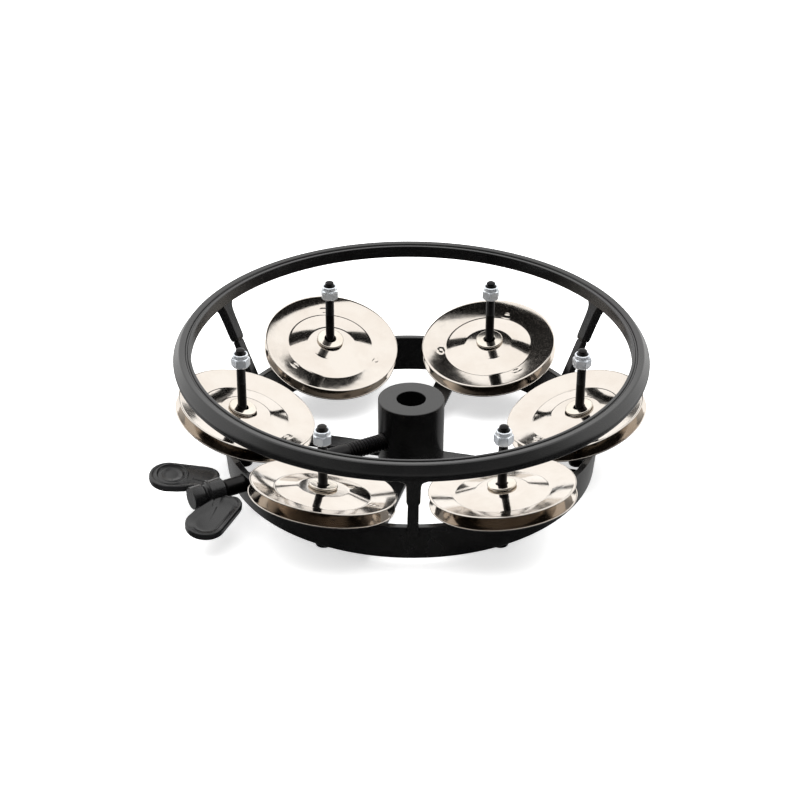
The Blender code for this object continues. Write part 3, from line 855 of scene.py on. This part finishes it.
def build_floor():
    mesh = bpy.data.meshes.new("floor")
    half = TABLE_HALF
    corners = [(-half, -half, 0), (half, -half, 0), (half, half, 0), (-half, half, 0)]
    mesh.from_pydata(corners, [], [(0, 1, 2, 3)])
    material, tree, shader = new_material("pale_floor")
    tone = remap(tree, noise(tree, 3.0), 0.3, 0.7, 0.0, 1.0)
    paper = blend_colours(tree, tone, (0.93, 0.93, 0.93), (0.95, 0.95, 0.95))
    tree.links.new(paper, shader.inputs["Base Color"])
    shader.inputs["Roughness"].default_value = 0.9
    shader.inputs["Specular IOR Level"].default_value = 0.1
    shader.inputs["Emission Color"].default_value = (1.0, 1.0, 1.0, 1.0)
    shader.inputs["Emission Strength"].default_value = TABLE_GLOW
    mesh.materials.append(material)
    floor = bpy.data.objects.new("floor", mesh)
    bpy.context.scene.collection.objects.link(floor)
    floor.location.z = -TABLE_DROP
    floor.visible_glossy = False


def build_world():
    """Bright paper behind, above and below the object, a dim strip of it on the camera's side."""
    world = bpy.data.worlds.new("studio")
    bpy.context.scene.world = world
    world.use_nodes = True
    tree = world.node_tree
    background = tree.nodes["Background"]
    direction = tree.nodes.new("ShaderNodeTexCoord").outputs["Generated"]
    dome = tree.nodes.new("ShaderNodeVectorMath")
    dome.operation = "DOT_PRODUCT"
    tree.links.new(direction, dome.inputs[0])
    rise = math.radians(DOME_CENTRE)
    dome.inputs[1].default_value = (0.0, math.cos(rise), math.sin(rise))
    covered = remap(tree, dome.outputs["Value"], -0.12, 0.08, 0.0, 1.0)
    split = tree.nodes.new("ShaderNodeSeparateXYZ")
    tree.links.new(direction, split.inputs["Vector"])
    lower = remap(tree, split.outputs["Z"], -0.45, -0.1, 0.25, 1.0)
    both = calculate(tree, "MULTIPLY", covered, lower)
    paper = remap(tree, both, 0.0, 1.0, DARK_STRENGTH, DOME_STRENGTH)
    rising = remap(tree, split.outputs["Z"], 0.2, 0.34, 0.0, STRIP_STRENGTH)
    fading = remap(tree, split.outputs["Z"], 0.55, 0.72, 1.0, 0.0)
    strip = calculate(tree, "MULTIPLY", rising, fading)
    tree.links.new(calculate(tree, "MAXIMUM", paper, strip), background.inputs["Strength"])
    background.inputs["Color"].default_value = (1.0, 0.995, 0.985, 1.0)


def build_lamp():
    """One large soft light overhead, aimed at the object and kept out of the reflections."""
    light = bpy.data.lights.new("overhead", "AREA")
    light.shape = "RECTANGLE"
    light.size, light.size_y = LAMP_SIZE
    light.energy = LAMP_POWER
    obj = bpy.data.objects.new("overhead", light)
    bpy.context.scene.collection.objects.link(obj)
    obj.location = LAMP_AT
    obj.rotation_euler = (-Vector(LAMP_AT)).to_track_quat("-Z", "Y").to_euler()
    obj.visible_glossy = False


def build_camera():
    """The photograph's view: 31.6 degrees down, from the front, with a long lens."""
    data = bpy.data.cameras.new("camera")
    data.lens = CAMERA_LENS
    data.sensor_width = 36.0
    data.shift_x, data.shift_y = CAMERA_SHIFT
    camera = bpy.data.objects.new("camera", data)
    bpy.context.scene.collection.objects.link(camera)
    tilt, side, roll = (math.radians(angle) for angle in (CAMERA_TILT, CAMERA_SIDE, CAMERA_ROLL))
    target = Vector((0.0, 0.0, BASE_Z * MM))
    away = Vector((math.sin(side) * math.cos(tilt), -math.cos(side) * math.cos(tilt), math.sin(tilt)))
    look = (-away).to_track_quat("-Z", "Y").to_matrix().to_4x4()
    at = Matrix.Translation(target + away * CAMERA_DISTANCE)
    camera.matrix_world = at @ look @ Matrix.Rotation(roll, 4, "Z")
    bpy.context.scene.camera = camera


build_hoop()
build_frame()
build_screws()
build_nuts()
build_jingles()
build_washers()
build_clamp_screw()
build_insert()
build_wing()
build_floor()
build_world()
build_lamp()
build_camera()

scene = bpy.context.scene
scene.view_settings.view_transform = "Standard"
scene.cycles.glossy_bounces = 8
scene.cycles.max_bounces = 10
scene.cycles.caustics_reflective = False
